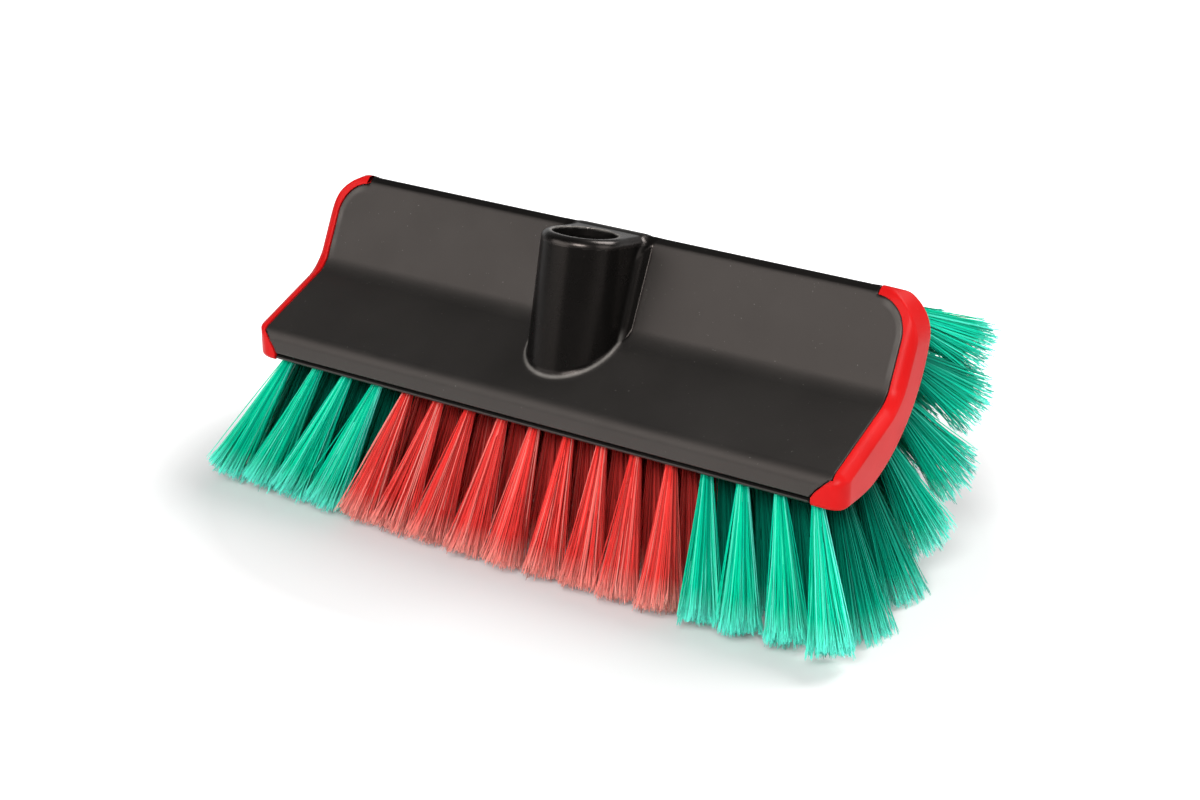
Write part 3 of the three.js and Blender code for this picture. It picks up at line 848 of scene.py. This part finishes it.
def cover_marks(points):
    """How polished the cover is at each point, how strongly a highlight is painted there, and which points
    are on the socket's column.
    """
    x, y, z = points.T
    post, flank = boss(x, y, z)
    rear, out = socket_axes(y, z)

    def past(value, band):
        start, run = band
        return smooth((value - start) / run)

    def near(distance):
        return smooth(MOUTH_EDGE_LEVEL - np.abs(distance) / MOUTH_EDGE_RUN)

    on_boss = smooth(1 - np.minimum(post, flank) / BOSS_BLEND)
    on_rim = past(z - RIM_FOOT[1], RIM_BAND) * past(np.abs(x), RIM_PAST_SOCKET)
    on_border = past(rounded_end(x, z), BORDER_BAND) * past(z, BORDER_CLIMB) * (1 - on_rim)
    on_border *= past(np.abs(x) - COVER_HALF, BORDER_END)
    on_foot = past(np.minimum(post, skin(y, z)), FOOT_BAND) * past(flank, FOOT_PAST_FLANK)
    on_foot *= past(-z, FOOT_DESCENT)
    on_mouth = near(np.hypot(x, rear) - MOUTH_EDGE_RADIUS) * near(out)
    polish = np.maximum(on_boss, RIM_POLISH * on_rim)
    # Painted highlights: a faint band along the end borders, an arc round the socket's foot and a line on
    # the bore's edge
    painted_highlight = np.maximum(np.maximum(BORDER_HIGHLIGHT_PAINT * on_border, FOOT_HIGHLIGHT_PAINT * on_foot), on_mouth)
    on_column = (on_boss > 0.5) & (out < COLUMN_TOP)
    return polish, painted_highlight, on_column


def make_cover(black, socket_black):
    piece, points = field_piece("cover", cover, COVER_GRID)
    polish, painted_highlight, on_column = cover_marks(points)
    point_values(piece, "polish", polish)
    point_values(piece, "painted_highlight", painted_highlight)
    finish_piece(piece, black, "body_black", "cover_shell")
    piece.data.materials.append(socket_black)
    for face in piece.data.polygons:
        face.material_index = int(on_column[list(face.vertices)].all())


def make_base(black):
    piece, _ = field_piece("base", base, BASE_GRID)
    finish_piece(piece, black, "body_black", "bristle_base")


def make_bumpers(rubber):
    right, _ = field_piece("bumper_right", bumper, RIGHT_BUMPER_GRID)
    finish_piece(right, rubber, "bumper_red", "right_bumper")
    left, _ = field_piece("bumper_left", bumper, LEFT_BUMPER_GRID)
    finish_piece(left, rubber, "bumper_red", "left_bumper")


def finish_washer():
    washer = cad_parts["socket_washer"]
    washer.data.materials.clear()
    washer.data.materials.append(washer_rubber())


def make_tufts():
    """One piece for each row of each colour zone."""
    green = filament_plastic("filament_green", **GREEN_FILAMENT)
    red = filament_plastic("filament_red", **RED_FILAMENT)
    red_end = COLUMNS - GREEN_COLUMNS
    zones = (
        ("green_left", range(0, GREEN_COLUMNS), green, "bristle_green", "bristles_green_left"),
        ("red", range(GREEN_COLUMNS, red_end), red, "bristle_red", "bristles_red"),
        ("green_right", range(red_end, COLUMNS), green, "bristle_green", "bristles_green_right"),
    )
    random = np.random.default_rng(SEED)
    for zone, columns, material, slot, node in zones:
        for row in range(ROWS):
            tufts = [(row, column) for column in columns]
            finish_piece(filaments(f"tufts_{zone}_{row}", tufts, random), material, slot, node)


# Stage, light and camera

def stage_floor():
    """A pale floor that keeps the object's shadow, and away from a strip along X is white to the camera."""
    mesh = bpy.data.meshes.new("floor")
    mesh.from_pydata(FLOOR_CORNERS, [], [(0, 1, 2, 3)])
    floor = linked("floor", mesh)
    nodes = material_nodes("floor_white")
    nodes.uniform("Base Color", (*grey(FLOOR_GREY), 1))
    nodes.uniform("Roughness", 0.9)
    nodes.uniform("Specular IOR Level", 0.0)
    place = nodes.place("Object")
    along = nodes.math("ABSOLUTE", place["X"])
    past = nodes.spread(along, 0.0, 1.0, FADE_STRIP_HALF, FADE_STRIP_HALF + 1)
    flat = nodes.add("ShaderNodeCombineXYZ")
    nodes.join(past, flat.inputs[0])
    nodes.join(place["Y"], flat.inputs[1])
    away = nodes.add("ShaderNodeVectorMath", operation="LENGTH")
    nodes.join(flat.outputs[0], away.inputs[0])
    distance = away.outputs["Value"]
    path = nodes.add("ShaderNodeLightPath")
    white = nodes.spread(distance, 0.06, 0.8, 0.12, 0.215)
    sheen = nodes.spread(distance, 1.0, 0.0, 0.1, 0.5)
    to_camera = nodes.math("MULTIPLY", path.outputs["Is Camera Ray"], white)
    to_gloss = nodes.math("MULTIPLY", path.outputs["Is Glossy Ray"], sheen)
    nodes.uniform("Emission Color", (*WHITE, 1))
    nodes.feed("Emission Strength", nodes.math("ADD", to_camera, to_gloss))
    mesh.materials.append(nodes.owner)


def studio_world():
    """White to the camera; as light, a sky that is brighter near the horizon and behind the object."""
    world = bpy.data.worlds.new("studio")
    bpy.context.scene.world = world
    nodes = Nodes(world, "Background")
    place = nodes.place("Generated")
    sky = nodes.ramp(place["Z"], (0.12, grey(0.62)), (0.3, grey(0.15)))
    dimmed = nodes.mix(1.0, sky, nodes.spread(place["Y"], 0.15, 1.0, -0.15, 0.55), "MULTIPLY")
    path = nodes.add("ShaderNodeLightPath")
    nodes.feed("Color", nodes.mix(path.outputs["Is Camera Ray"], dimmed, WHITE))


def turned(place, aim):
    """The rotation that points a lamp or a camera at its aim."""
    return (Vector(aim) - Vector(place)).to_track_quat("-Z", "Y").to_euler()


def area_light(name, place, aim, size, power):
    data = bpy.data.lights.new(name, "AREA")
    data.shape = "RECTANGLE"
    data.size, data.size_y = size
    data.energy = power
    lamp = linked(name, data)
    lamp.location = place
    lamp.rotation_euler = turned(place, aim)


def photo_camera():
    data = bpy.data.cameras.new("camera")
    data.sensor_fit = "HORIZONTAL"
    data.sensor_width = SENSOR_WIDTH
    data.lens = CAMERA_LENS
    camera = linked("camera", data)
    camera.location = CAMERA_PLACE
    camera.rotation_euler = turned(CAMERA_PLACE, CAMERA_AIM)
    bpy.context.scene.camera = camera


moulded = moulded_black("moulded_black", SATIN_GLOSS)
make_cover(moulded, moulded_black("socket_black", SOCKET_GLOSS))
make_base(moulded)
make_bumpers(bumper_rubber())
finish_washer()
make_tufts()
stage_floor()
studio_world()
for lamp in LAMPS:
    area_light(*lamp)
photo_camera()
bpy.context.scene.view_settings.view_transform = "Standard"
